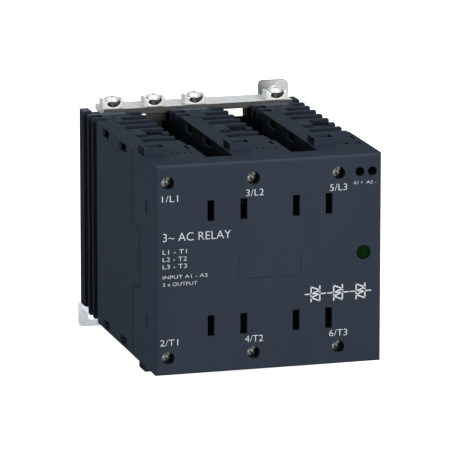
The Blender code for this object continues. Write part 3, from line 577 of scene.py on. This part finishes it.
def stroke(points, width):
    """Flat rectangles of ink along a line of points, in millimetres of the front face."""
    corners, faces = [], []
    for (x0, z0), (x1, z1) in zip(points, points[1:]):
        along = Vector((x1 - x0, z1 - z0)).normalized() * width / 2
        across = Vector((-along.y, along.x))
        base = len(corners)
        outline = [
            (x0 - along.x - across.x, z0 - along.y - across.y),
            (x1 + along.x - across.x, z1 + along.y - across.y),
            (x1 + along.x + across.x, z1 + along.y + across.y),
            (x0 - along.x + across.x, z0 - along.y + across.y),
        ]
        for depth in (-INK_PROUD, INK_PROUD):
            corners += [on_front(x, z) + Vector((0, depth, 0)) for x, z in outline]
        faces += [tuple(base + i for i in face) for face in BOX_FACES]
    return corners, faces


def drawing(name, strokes):
    """One piece of ink from several strokes."""
    corners, faces = [], []
    for part_corners, part_faces in strokes:
        base = len(corners)
        corners += part_corners
        faces += [tuple(base + i for i in face) for face in part_faces]
    shape = bpy.data.meshes.new(name)
    shape.from_pydata(corners, [], faces)
    shape.materials.append(printed_ink)
    item = linked(name, shape)
    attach(item, "frame")


def terminal_numbers():
    """The usual numbers of a three-pole device's terminals, and of its control input."""
    for phase, edges in enumerate(LINE_NUMBERS, 1):
        marking(f"mark_line_{phase}", f"{2 * phase - 1}/L{phase}", *edges)
    for phase, edges in enumerate(LOAD_NUMBERS, 1):
        marking(f"mark_load_{phase}", f"{2 * phase}/T{phase}", *edges)
    marking("mark_control_1", "A1 +", 94.3, 98.9, 84.4, 85.9)
    marking("mark_control_2", "A2 -", 100.6, 105.2, 84.4, 85.9)


def channel_key():
    """A plain heading, and lines that say which terminals each channel joins."""
    marking("mark_heading", "3~ AC RELAY", 3.3, 35.6, 62.9, 66.7)
    for row, words in enumerate(("L1 - T1", "L2 - T2", "L3 - T3")):
        high = 59.0 - row * 3.4
        marking(f"mark_channel_{row + 1}", words, 3.2, 14.6, high - 2.0, high)
    marking("mark_input", "INPUT A1 - A2", 3.2, 24.5, 45.4, 47.0)
    marking("mark_output", "3 x OUTPUT", 3.2, 19.5, 42.0, 43.6)


def relay_symbol():
    """Circuit symbols of the three channels: a pair of opposed triangles between two leads."""
    strokes = []
    z = SYMBOL_Z
    for channel in range(3):
        x = SYMBOL_X + channel * SYMBOL_PITCH
        strokes.append(stroke([(x - 4.9, z), (x + 4.9, z)], LEAD_STROKE))
        for side in (-1, 1):
            back, front = x - 2.1 * side, x + 2.1 * side
            bar = [(back, z + 3.5 * side), (back, z - 0.2 * side)]
            triangle = [(back, z + 3.4 * side), (front, z + 1.7 * side), (back, z)]
            cross_bar = [(front, z + 3.5 * side), (front, z)]
            strokes += [stroke(line, SYMBOL_STROKE) for line in (bar, triangle, cross_bar)]
    drawing("mark_symbol", strokes)


# ---------------------------------------------------------------- latch spring

SPRING_TURNS = 5
SPRING_POINTS = 24  # in a turn of the wire
WIRE_POINTS = 10  # round the wire
WIRE_RADIUS = 0.27 * MM
END_FLATNESS = 0.09  # how far the end turns are pressed together


def spring_wire(middle, radius, low, high):
    """Closed tube along a helix whose end turns lie almost flat, as on a ground compression spring."""
    steps = SPRING_TURNS * SPRING_POINTS
    path = []
    for step in range(steps + 1):
        share = step / steps
        rise = share - END_FLATNESS * math.sin(2 * math.pi * share)
        turn = 2 * math.pi * SPRING_TURNS * share
        x, y = middle.x + radius * math.cos(turn), middle.y + radius * math.sin(turn)
        path.append(Vector((x, y, low + (high - low) * rise)))
    corners, faces = [], []
    for index, point in enumerate(path):
        along = (path[min(index + 1, steps)] - path[max(index - 1, 0)]).normalized()
        outward = Vector((point.x - middle.x, point.y - middle.y, 0)).normalized()
        upward = along.cross(outward).normalized()
        for corner in range(WIRE_POINTS):
            turn = 2 * math.pi * corner / WIRE_POINTS
            corners.append(point + WIRE_RADIUS * (math.cos(turn) * outward + math.sin(turn) * upward))
    for index in range(steps):
        for corner in range(WIRE_POINTS):
            after = (corner + 1) % WIRE_POINTS
            first, second = index * WIRE_POINTS, (index + 1) * WIRE_POINTS
            faces.append((first + corner, first + after, second + after, second + corner))
    faces.append(tuple(reversed(range(WIRE_POINTS))))
    faces.append(tuple(range(steps * WIRE_POINTS, (steps + 1) * WIRE_POINTS)))
    return corners, faces


def latch_spring():
    """The spring under the latch, built at its rest length in place of the CAD spring."""
    low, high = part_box("latch_spring")
    middle = (low + high) / 2
    radius = (high.y - low.y) / 2 - WIRE_RADIUS
    corners, faces = spring_wire(middle, radius, low.z + WIRE_RADIUS, high.z - WIRE_RADIUS)
    shape = bpy.data.meshes.new("spring")
    shape.from_pydata(corners, [], faces)
    shape.materials.append(MATERIALS["spring_steel"])
    shape.shade_smooth()
    item = linked("spring", shape)
    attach(item, "frame")
    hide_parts("latch_spring")
    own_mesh(item)


# ------------------------------------------------------------ studio and camera

FLOOR_DROP = 3 * MM
FLOOR_HALF = 30.0
LAMP_AIM = Vector((0, -0.07, 0.045))
CAMERA_PLACE = (-0.6304, -2.2685, 0.5712)
CAMERA_AIM = Vector((-0.00256, -0.083, 0.05319))
FOCAL_LENGTH = 391.15
SENSOR_WIDTH = 36


def plain_floor():
    """A wide pale floor, just low enough for the pull of the rail latch at the end of its travel."""
    low, half = cad_box[0].z - FLOOR_DROP, FLOOR_HALF
    shape = bpy.data.meshes.new("floor")
    corners = [(-half, -half, low), (half, -half, low), (half, half, low), (-half, half, low)]
    shape.from_pydata(corners, [], [(0, 1, 2, 3)])
    g = Graph("floor_paper")
    cloud = g.noise(3, 2, 0.5)
    g.finish(g.blend(cloud, (0.55, 0.55, 0.55), (0.58, 0.58, 0.58)), 0.9, Specular_IOR_Level=0.1)
    g.shader.inputs["Emission Color"].default_value = (1, 1, 1, 1)
    seen = g.add("ShaderNodeLightPath").outputs["Is Camera Ray"]
    g.put(g.shader.inputs["Emission Strength"], g.calc("MULTIPLY", seen, 0.95))
    shape.materials.append(g.material)
    item = linked("floor", shape)


def pointed(item, place, aim):
    """Stands a lamp or camera at place, looking at aim."""
    item.location = place
    item.rotation_mode = "QUATERNION"
    item.rotation_quaternion = (aim - item.location).to_track_quat("-Z", "Y")


def soft_light(name, place, size, power, colour=(1, 1, 1)):
    lamp = bpy.data.lights.new(name, "AREA")
    lamp.shape = "SQUARE"
    lamp.size = size
    lamp.energy = power
    lamp.color = colour
    pointed(linked(name, lamp), place, LAMP_AIM)


def studio():
    """An even white room seen by the camera, with a dimmer room and large soft lamps lighting the part."""
    world = bpy.data.worlds.new("studio")
    bpy.context.scene.world = world
    world.use_nodes = True
    nodes, links = world.node_tree.nodes, world.node_tree.links
    lit = nodes["Background"]
    lit.inputs["Color"].default_value = (0.90, 0.95, 1.0, 1)
    lit.inputs["Strength"].default_value = 0.50
    seen = nodes.new("ShaderNodeBackground")
    seen.inputs["Color"].default_value = (1, 1, 1, 1)
    seen.inputs["Strength"].default_value = 1.0
    ray = nodes.new("ShaderNodeLightPath")
    choice = nodes.new("ShaderNodeMixShader")
    links.new(ray.outputs["Is Camera Ray"], choice.inputs["Fac"])
    links.new(lit.outputs[0], choice.inputs[1])
    links.new(seen.outputs[0], choice.inputs[2])
    links.new(choice.outputs[0], nodes["World Output"].inputs["Surface"])
    soft_light("front_lamp", (0.85, -1.85, 0.8), 1.2, 40, (1.0, 0.945, 0.87))
    soft_light("left_lamp", (-1.75, -1.3, 0.55), 1.0, 27, (0.88, 0.94, 1.0))
    soft_light("top_lamp", (0.1, 0.25, 1.7), 1.4, 11)


def aim_camera():
    """A long lens from the front, a little to the left and above."""
    lens = bpy.data.cameras.new("camera")
    lens.lens = FOCAL_LENGTH
    lens.sensor_width = SENSOR_WIDTH
    lens.clip_start = 0.05
    lens.clip_end = 60
    item = linked("camera", lens)
    pointed(item, CAMERA_PLACE, CAMERA_AIM)
    bpy.context.scene.camera = item
    bpy.context.scene.view_settings.view_transform = "Standard"


dress_nodes()
soften_nodes()
terminal_numbers()
channel_key()
relay_symbol()
latch_spring()
plain_floor()
studio()
aim_camera()
